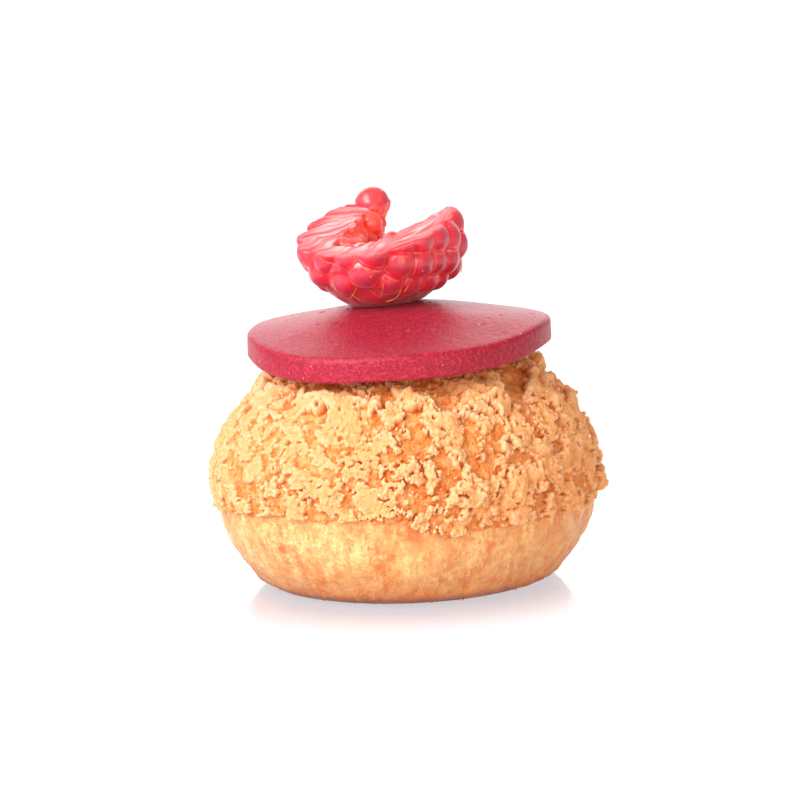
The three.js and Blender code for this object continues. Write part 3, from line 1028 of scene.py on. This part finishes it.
cutTurn = np.array(Matrix.Rotation(berry["cutLean"], 3, "X") @ Matrix.Rotation(-berry["cutRoll"], 3, "Y"))
cutWay = cutTurn[:, 2]  # out of the cut face
cutMiddle = np.array((0, 0, berry["cutHeight"]))
hollowStart = berry["stemReach"] - berry["hollowLength"]


def bedRadius(x):
    reach = berry["apexReach"] if x < 0 else berry["stemReach"] / berry["stemFullness"]
    return berry["width"] * math.sqrt(max(0, 1 - (x / reach) ** 2))


def drupeletList():  # middles and frames on the uncut berry, stem end to +X
    random = draws(berry["seed"])
    spots, frames = [], []
    stagger = 0
    x = berry["stemReach"] - berry["endInset"]
    while x > 1 - berry["apexReach"]:
        distance = max(0, bedRadius(x) - berry["drupeletInset"])
        count = max(1, round(2 * math.pi * distance / berry["drupeletPitch"]))
        for i in range(count):
            angle = 2 * math.pi * (i + stagger) / count
            stretch = between(berry["drupeletStretch"], next(random))
            radius = berry["drupeletRadius"] * between(berry["drupeletGrowth"], next(random))
            turn = Matrix.Rotation(2 * math.pi * next(random), 3, "X")
            spots.append((x, distance * math.cos(angle), distance * math.sin(angle) * berry["depthShare"]))
            frames.append(np.array(turn @ Matrix.Diagonal((stretch, 1, 1 / stretch))) * radius)
        stagger = 0.5 - stagger
        x -= berry["drupeletPitch"] * berry["ringSpacing"]
    for x, distance, count, radius in berry["apex"]:
        for i in range(count):
            angle = 2 * math.pi * (i + 0.3) / count
            spots.append((x, distance * math.cos(angle), distance * math.sin(angle) * berry["depthShare"]))
            frames.append(np.eye(3) * radius)
    return np.array(spots), np.array(frames)


def turnedForm(name, radiusAt, start, end):  # a form spun round the long axis, pointed at both ends
    rings = berry["rings"]
    places = [start + (end - start) * (1 - math.cos(math.pi * i / rings)) / 2 for i in range(rings + 1)]
    profile = [(x, 0 if i in (0, rings) else max(radiusAt(x), 0.05), 0) for i, x in enumerate(places)]
    return spun(name, profile, (1, 0, 0), berry["steps"])


def carve(piece, cutter):
    applyModifier(piece, "BOOLEAN", {"operation": "DIFFERENCE", "object": cutter, "solver": "EXACT"})
    bpy.data.objects.remove(cutter)


def hollowAt(x):  # radius of the hollow
    share = np.clip((x - hollowStart) / berry["hollowLength"], 0, 1)
    return between((berry["hollowTip"], berry["hollowMouth"]), share)


def liningList():  # the inner ends of the drupelets, that line the hollow
    random = np.random.default_rng(berry["seed"])
    pitch, radius = berry["liningPitch"], berry["liningRadius"]
    spots, sizes = [], []
    x = hollowStart + 0.5
    stagger = 0
    while x < berry["stemReach"] - 1.5:
        wall = hollowAt(x)
        count = round(2 * math.pi * wall / pitch)
        for i in range(count):
            angle = 2 * math.pi * (i + stagger) / count + random.uniform(-0.1, 0.1)
            size = radius * random.uniform(0.8, 1.2)
            reach = wall + random.uniform(0.0, 0.5)
            sideways, rise = reach * math.cos(angle), reach * math.sin(angle) * berry["depthShare"]
            spot = berryTurn @ np.array((x, sideways, rise + berry["hollowLift"]))
            if (spot - cutMiddle) @ cutWay < -0.6 * size:
                spots.append(spot)
                sizes.append(np.eye(3) * size)
        stagger = 0.5 - stagger
        x += pitch * 0.9
    return np.array(spots), np.array(sizes)


def knifeBlock():  # all that the knife takes away
    size = 4 * berry["apexReach"]
    dropPick()
    bpy.ops.mesh.primitive_cube_add(size=size * mm, location=(0, 0, size / 2 * mm))
    block = named("knife_block")
    setPoints(block, pointsOf(block) @ cutTurn.T + cutMiddle)
    return block


def cutBerry():  # the halved fruit round its own middle, with the middles and radii of its drupelets
    ball = ballShape("drupelet_shape", 4)
    spots, frames = drupeletList()
    fruit = pieceFrom("raspberry", *copies(ball, spots, frames))
    inset = berry["coreInset"]
    coreEnds = (inset - berry["apexReach"], berry["stemReach"] - inset)
    joinTo(fruit, turnedForm("berry_core", lambda x: bedRadius(x) - inset, *coreEnds))
    remesh(fruit, berry["voxel"])
    cavity = turnedForm("berry_hollow", hollowAt, hollowStart - 1, berry["stemReach"] + 3)
    setPoints(cavity, pointsOf(cavity) + np.array((0, 0, berry["hollowLift"])))
    carve(fruit, cavity)
    setPoints(fruit, pointsOf(fruit) @ berryTurn.T)
    carve(fruit, knifeBlock())

    standing = np.array([at for at, _ in berry["standing"]])
    sizes = np.array([np.eye(3) * radius for _, radius in berry["standing"]])
    lining, liningSizes = liningList()
    added = copies(ball, np.concatenate([standing, lining]), np.concatenate([sizes, liningSizes]))
    joinTo(fruit, pieceFrom("standing_drupelets", *added))
    remesh(fruit, berry["voxel"])
    applyModifier(fruit, "SMOOTH", {"factor": 0.5, "iterations": 4})
    radii = [np.linalg.det(f) ** (1 / 3) for f in [*frames, *sizes]]
    return fruit, np.concatenate([spots @ berryTurn.T, standing]), radii


def makeBerry():
    fruit, centres, radii = cutBerry()
    points = pointsOf(fruit)
    normals = normalsOf(fruit)
    under = (points - cutMiddle) @ cutWay  # height over the knife's path
    onCut = ease(-np.abs(under), -0.32, -0.08) * ease(normals @ cutWay, 0.2, 0.7)
    own = points @ berryTurn  # back along the berry's own axes
    inside = np.hypot(own[:, 1], (own[:, 2] - berry["hollowLift"]) / berry["depthShare"])
    hollow = 1 - ease(inside - hollowAt(own[:, 0]), 0.15, 0.7)
    hollow = hollow * ease(own[:, 0], hollowStart - 1.6, hollowStart - 0.8) * (1 - onCut)
    hollow *= 1 - ease(under, 0.3, 0.8)
    hollow += 0.35 * ease(under, 0.5, 1.5)  # the standing drupelet is as clear as the lining, and painted as light: partly painted light for what shines through it

    # streaks fan out over the cut, and run along the narrow right arm
    ahead = own[:, 0] - berry["streakFrom"]
    fan = np.arctan2(own[:, 1], ahead) + 0.05 * lumps(own, 2.2, 46) + 0.01 * lumps(own, 0.9, 47)
    reach = np.hypot(own[:, 1], ahead)
    ray = np.stack([np.cos(fan) * berry["streaks"], np.sin(fan) * berry["streaks"], reach * 0.3], axis=1)
    streak = 0.9 - 2.1 * np.abs(lumps(ray, 2.6, 41)) + 0.5 * lumps(ray, 1.2, 42)
    arm = ease(points[:, 0], 0.5, 4)
    ends = np.where(own[:, 0] < 0, berry["apexReach"], berry["stemReach"] / berry["stemFullness"])
    size = np.hypot(own[:, 0] / ends, np.hypot(own[:, 1], own[:, 2] / berry["depthShare"]) / berry["width"])
    depth = (1 - size) * berry["width"]  # how far in from the bed's outside
    along = np.stack([depth * 4 + lumps(own, 1.6, 49), own[:, 0] * 0.5, own[:, 1] * 0.5], axis=1)
    streak += arm * (0.9 - 2.1 * np.abs(lumps(along, 2.6, 50)) - streak)
    points += cutWay * (onCut * berry["streakDepth"] * streak)[:, None]

    # the rim swells on the left, and lining and skin are a little uneven
    swellX, swellY, swellReach, swellHeight = berry["swell"]
    bulge = np.exp(-((points[:, 0] - swellX) ** 2 + (points[:, 1] - swellY) ** 2) / swellReach**2)
    points[:, 2] += swellHeight * bulge * ease(under, -5, 0) * (1 - ease(under, 0.5, 2))
    points += normals * (hollow * layered(points, berry["liningLumps"]))[:, None]
    points += normals * ((1 - onCut) * layered(points, berry["skinLumps"]))[:, None]

    # seams between the drupelets are filled a little
    gaps = np.stack([np.linalg.norm(points - c, axis=1) - r for c, r in zip(centres, radii)], axis=1)
    gaps.partition(1, axis=1)
    step = gaps[:, 1] - gaps[:, 0]
    seam = step + 2 * ease(np.abs(gaps[:, 0]), 0.15, 0.4)
    fill = berry["seamFill"] * (1 - ease(step, 0, 1)) * (1 - onCut) * (1 - ease(hollow, 0, 0.3))
    points += normals * fill[:, None] + np.array(berry["centre"])
    resting = discTop(points[:, 0], points[:, 1]) + 0.03
    points[:, 2] = np.maximum(points[:, 2], resting)  # settled on the paste
    setPoints(fruit, points)
    values = {"cut": onCut, "hollow": hollow, "streak": streak, "depth": depth + 0.4 * arm, "seam": seam}
    for name, value in values.items():
        keepValue(fruit, name, value)
    thin(fruit)
    smooth(fruit)
    return fruit


berryLook = {
    "flesh": colour(220, 34, 56),
    "milky": colour(194, 44, 72),
    # painted light shining through the seams
    "glow": colour(236, 24, 42),
    # painted highlight colour of the rims and glints
    "rim": colour(255, 166, 170),
    "cutPale": colour(244, 180, 176),
    "cutPink": colour(232, 92, 98),
    "cutRed": colour(222, 44, 58),
    # lining colour, painted brighter for light shining through
    "core": colour(250, 94, 80),
    # noises: size, detail, roughness
    "cloud": (2.4, 3.0, 0.55),
    "fine": (0.4, 2.0, 0.6),
    "glintSpacing": 1.5,
    "bump": 0.05,
}


def berryFinish():
    look = berryLook
    finish = Finish("raspberry_flesh", {"Specular IOR Level": 0.5, "Subsurface Weight": 0.75,
                                        "Subsurface Radius": (1.0, 0.2, 0.18), "Subsurface Scale": 1.8 * mm,
                                        "Coat Roughness": 0.2, "Sheen Weight": 0.2, "Sheen Roughness": 0.4})
    at = finish.place()
    cut, hollow, streak, seam, depth = (finish.value(n) for n in ("cut", "hollow", "streak", "seam", "depth"))
    cloud, fine = (finish.noise(at, *look[n]) for n in ("cloud", "fine"))
    base = finish.lay(look["flesh"], look["milky"], seam + (cloud - 0.5) * 2.0, 0.5, 1.6)
    # painted light: the seams are painted a brighter red for light shining through them
    base = finish.mix(1 - finish.ease(seam, 0.0, 0.35), base, look["glow"])
    # painted highlight: thin pale rims along the drupelets' edges
    rimHighlight = finish.ease(seam, 0.15, 0.32) * (1 - finish.ease(seam, 0.32, 0.6))
    base = finish.lay(base, look["rim"], cloud, 0.45, 0.6, rimHighlight * 0.4)
    # painted highlight: tiny pale glints on the drupelets
    paintedGlints = 1 - finish.ease(finish.cells(at, look["glintSpacing"]), 0.06, 0.13)
    base = finish.lay(base, look["rim"], cloud, 0.44, 0.52, paintedGlints * 0.7)
    # the lining's own paler colour, painted brighter as painted light for what shines through the walls
    base = finish.mix(hollow * 0.9, base, look["core"])
    inward = finish.ease(depth + (cloud - 0.5) * 1.6, 0.4, 3.0)
    face = finish.mix(inward, look["cutRed"], look["cutPink"])
    face = finish.lay(face, look["cutPale"], streak + (fine - 0.5) * 0.5, 0.05, 0.85, inward * 0.68 + 0.16)
    base = finish.mix(cut, base, face)
    rough = 0.28 + fine * 0.16 + cut * 0.16
    coat = 0.5 - cut * 0.4 - hollow * 0.4
    normal = finish.bump(fine, look["bump"])
    return finish.paint({"Base Color": base, "Roughness": rough, "Coat Weight": coat, "Normal": normal})


fruit = makeBerry()
dress(fruit, berryFinish(), "raspberry_half")


# Golden styles on the berry's skin

hairs = {
    "thick": 0.1,
    "steps": 10,
    "clear": 0.04,  # least distance from the skin to the middle of a style
    # on the front: x and height of the start, length, drift to the side and how far it stands off the skin
    "front": [(-9.4, 43.8, 1.6, 0.3, 0.3), (-6.2, 43.0, 2.9, -0.2, 0.5), (-6.7, 41.6, 1.7, 0.7, 0.3),
              (-2.4, 43.4, 3.2, -0.25, 0.5), (0.1, 42.6, 4.2, -0.6, 0.9), (1.5, 43.9, 2.4, -0.5, 0.4),
              (5.2, 50.6, 1.8, -0.4, 0.25)],
    # on the other sides: azimuth in degrees and height of the start, length, drift and stand-off
    "round": [(10, 44.6, 2.2, 0.3, 0.25), (48, 44.0, 2.6, -0.3, 0.3), (80, 43.6, 3.0, 0.3, 0.4),
              (112, 43.4, 2.6, -0.4, 0.3), (140, 44.0, 2.2, 0.2, 0.3), (166, 44.4, 2.6, -0.3, 0.3)],
    "gold": colour(222, 158, 86),
    "tip": colour(190, 110, 52),
    "shade": (1.2, 2.0, 0.5),  # noise: size, detail, roughness
}


def makeHairs():
    middle = np.array(berry["centre"])
    starts = [((x, -30, z), (0, 1, 0), *rest) for x, z, *rest in hairs["front"]]
    for around, z, *rest in hairs["round"]:
        out = np.array((math.cos(math.radians(around)), math.sin(math.radians(around)), 0))
        starts.append((middle * (1, 1, 0) + (0, 0, z) + out * 30, -out, *rest))
    curve = bpy.data.curves.new("berry_styles", "CURVE")
    curve.dimensions = "3D"
    curve.bevel_depth = hairs["thick"] / 2 * mm
    curve.bevel_resolution = 1
    curve.use_fill_caps = True
    for origin, aim, length, drift, stand in starts:
        hit, spot, _, _ = fruit.ray_cast(Vector(origin) * mm, Vector(aim))
        if not hit:
            print("no berry for the style at", origin)
            continue
        spot = np.array(spot) / mm
        sideways = np.cross((0, 0, 1), -np.array(aim))
        spline = curve.splines.new("POLY")
        spline.points.add(hairs["steps"] - 1)
        for i in range(hairs["steps"]):
            share = i / (hairs["steps"] - 1)
            _, near, outward, _ = fruit.closest_point_on_mesh(Vector(spot * mm))
            near, outward = np.array(near) / mm, np.array(outward)
            free = max((spot - near) @ outward, hairs["clear"])
            furthest = hairs["clear"] + stand * math.sqrt(share)  # hangs no further off the skin than this
            spot = near + outward * min(free, furthest)
            spot[2] = max(spot[2], discTop(spot[0], spot[1]) + hairs["thick"])
            spline.points[i].co = (*(spot * mm), 1)
            step = np.array((0, 0, -1.0)) + sideways * drift * (0.4 + 1.2 * share)
            spot = spot + step / np.linalg.norm(step) * length / (hairs["steps"] - 1)
    strands = bpy.data.objects.new("berry_styles", curve)
    bpy.context.scene.collection.objects.link(strands)
    takeUp(strands)
    bpy.ops.object.convert(target="MESH")
    strands = bpy.context.object
    mergeAndTurnOut(strands)
    smooth(strands)
    return strands


strands = makeHairs()
style = twoTone("dry_style", {"Specular IOR Level": 0.4, "Roughness": 0.45},
                hairs["shade"], (0.4, 0.62), (hairs["gold"], hairs["tip"]))
dress(strands, style, "raspberry_half")


# Sugar crystals caught in the crust

sugar = {
    "spacing": 8,
    "size": (0.13, 0.26),
    "bevel": 0.45,
    "squash": (0.7, 1.2),
    "discGap": 1.6,  # none nearer under the disc than this
    "white": colour(232, 200, 172),
    "pink": colour(220, 168, 140),
    "shade": (2.5, 1.0, 0.5),  # noise: size, detail, roughness
    "seed": 77,
}


def makeSugar():
    dropPick()
    bpy.ops.mesh.primitive_cube_add(size=2 * mm)
    crystal = named("sugar_shape")
    editAll(crystal)
    bpy.ops.mesh.bevel(offset=sugar["bevel"] * mm, segments=1, affect="EDGES")
    bpy.ops.mesh.quads_convert_to_tris()
    bpy.ops.object.mode_set(mode="OBJECT")
    shape = shapeOf(crystal)
    azimuth, height, random = domeSpots(sugar["spacing"], sugar["seed"])
    points, normals, lift, _ = crustForm(azimuth, height, height - hemHeightAt(azimuth))
    spots = points + normals * (lift + 0.05)[:, None]
    spots = spots[spots[:, 2] < discUnderside(spots[:, 0], spots[:, 1]) - sugar["discGap"]]
    frames = turnedFrames(random, random.uniform(*sugar["size"], len(spots)), sugar["squash"])
    return pieceFrom("sugar_crystals", *copies(shape, spots, frames))


crystals = makeSugar()
frosted = twoTone("sugar", {"Specular IOR Level": 0.6, "Roughness": 0.22, "Subsurface Weight": 0.4,
                            "Subsurface Radius": (1.0, 0.8, 0.6), "Subsurface Scale": 0.4 * mm},
                  sugar["shade"], (0.4, 0.6), (sugar["white"], sugar["pink"]))
dress(crystals, frosted, "choux_bun")


# Crumbs along the base edge

crumbs = {
    "count": 110,
    "size": (0.07, 0.2),
    "reach": (-0.5, 0.35),  # out from the base edge
    "squash": (0.6, 1.0),
    "shade": (2.0, 1.0, 0.5),  # noise: size, detail, roughness
    "seed": 19,
}


def makeCrumbs():
    random = np.random.default_rng(crumbs["seed"])
    azimuth = random.uniform(-math.pi, math.pi, crumbs["count"])
    size = random.uniform(*crumbs["size"], crumbs["count"])
    edge = skinFrame(azimuth, np.full(crumbs["count"], 0.0))[0]
    outward = np.stack([np.cos(azimuth), np.sin(azimuth), np.zeros(crumbs["count"])], axis=1)
    spots = edge + outward * random.uniform(*crumbs["reach"], crumbs["count"])[:, None]
    spots[:, 2] = size * 0.85
    return pieceFrom("base_crumbs", *copies(crumbForm, spots, turnedFrames(random, size, crumbs["squash"])))


loose = makeCrumbs()
toasted = twoTone("toasted_crumb", {"Specular IOR Level": 0.25, "Roughness": 0.7},
                  crumbs["shade"], (0.4, 0.6), (crustLook["gold"], crustLook["pale"]))
dress(loose, toasted, "choux_bun")


# Floor, light and camera

studio = {
    "floorSize": 4.0,
    "floorShade": (0.13, 0.13, 0.14, 1.0),
    # painted shadow: the floor glows less round the base
    "paintedShadowGlow": (0.55, 0.54, 0.565, 1.0),
    "farGlow": (0.86, 0.86, 0.86, 1.0),
    "glossAndShadowReach": (24, 41),  # polished, and glowing less as a painted shadow and reflection round the base, this near the bun's middle; dull and evenly bright from there on
    "surround": 0.45,  # light from all round
    "lights": [
        # name, place, width, watts, colour
        ("key", (-0.75, -0.62, 0.7), 0.8, 22.4, (0.95, 0.955, 1.0)),
        ("fill", (0.45, -1.0, 0.2), 0.7, 5.4, (1.0, 0.84, 0.58)),
        ("backdrop", (0.0, 1.5, 0.6), 1.8, 16.0, (1.0, 1.0, 1.0)),
    ],
    "elevation": math.radians(10),
    "distance": 0.7,
    "aim": (-0.0006, 0.0, 0.0257),
    "roll": math.radians(-2),
    "lens": 220.5,
}


def makeFloor():
    dropPick()
    bpy.ops.mesh.primitive_plane_add(size=studio["floorSize"])
    floor = named("floor")
    finish = Finish("floor", {"Specular IOR Level": 0.45, "Base Color": studio["floorShade"],
                              "Emission Strength": 1.0})
    distance = finish.node("ShaderNodeVectorMath", {"operation": "LENGTH"}, {0: finish.place()}, "Value")
    away = finish.ease(distance / mm, *studio["glossAndShadowReach"])
    # painted shadow: the glow drops round the base
    glow = finish.mix(away, studio["paintedShadowGlow"], studio["farGlow"])
    floor.data.materials.append(finish.paint({"Roughness": 0.09 + 0.5 * away, "Emission Color": glow}))


def makeLights():
    aim = Vector(studio["aim"])
    for name, place, width, watts, tint in studio["lights"]:
        bpy.ops.object.light_add(type="AREA", location=place)
        lamp = bpy.context.object
        lamp.name = name
        lamp.data.size = width
        lamp.data.energy = watts
        lamp.data.color = tint
        lamp.rotation_euler = (aim - Vector(place)).to_track_quat("-Z", "Y").to_euler()
    world = bpy.data.worlds.new("studio")
    bpy.context.scene.world = world
    world.use_nodes = True
    world.node_tree.nodes["Background"].inputs["Color"].default_value = (1, 1, 1, 1)
    world.node_tree.nodes["Background"].inputs["Strength"].default_value = studio["surround"]


def makeCamera():
    aim = Vector(studio["aim"])
    back = Vector((0, -math.cos(studio["elevation"]), math.sin(studio["elevation"])))
    bpy.ops.object.camera_add(location=aim + back * studio["distance"])
    camera = bpy.context.object
    camera.data.lens = studio["lens"]
    camera.rotation_mode = "QUATERNION"
    camera.rotation_quaternion = (-back).to_track_quat("-Z", "Y") @ Quaternion((0, 0, 1), studio["roll"])
    bpy.context.scene.camera = camera


makeFloor()
makeLights()
makeCamera()
bpy.context.scene.view_settings.view_transform = "Standard"
dropPick()
print("studio ready")
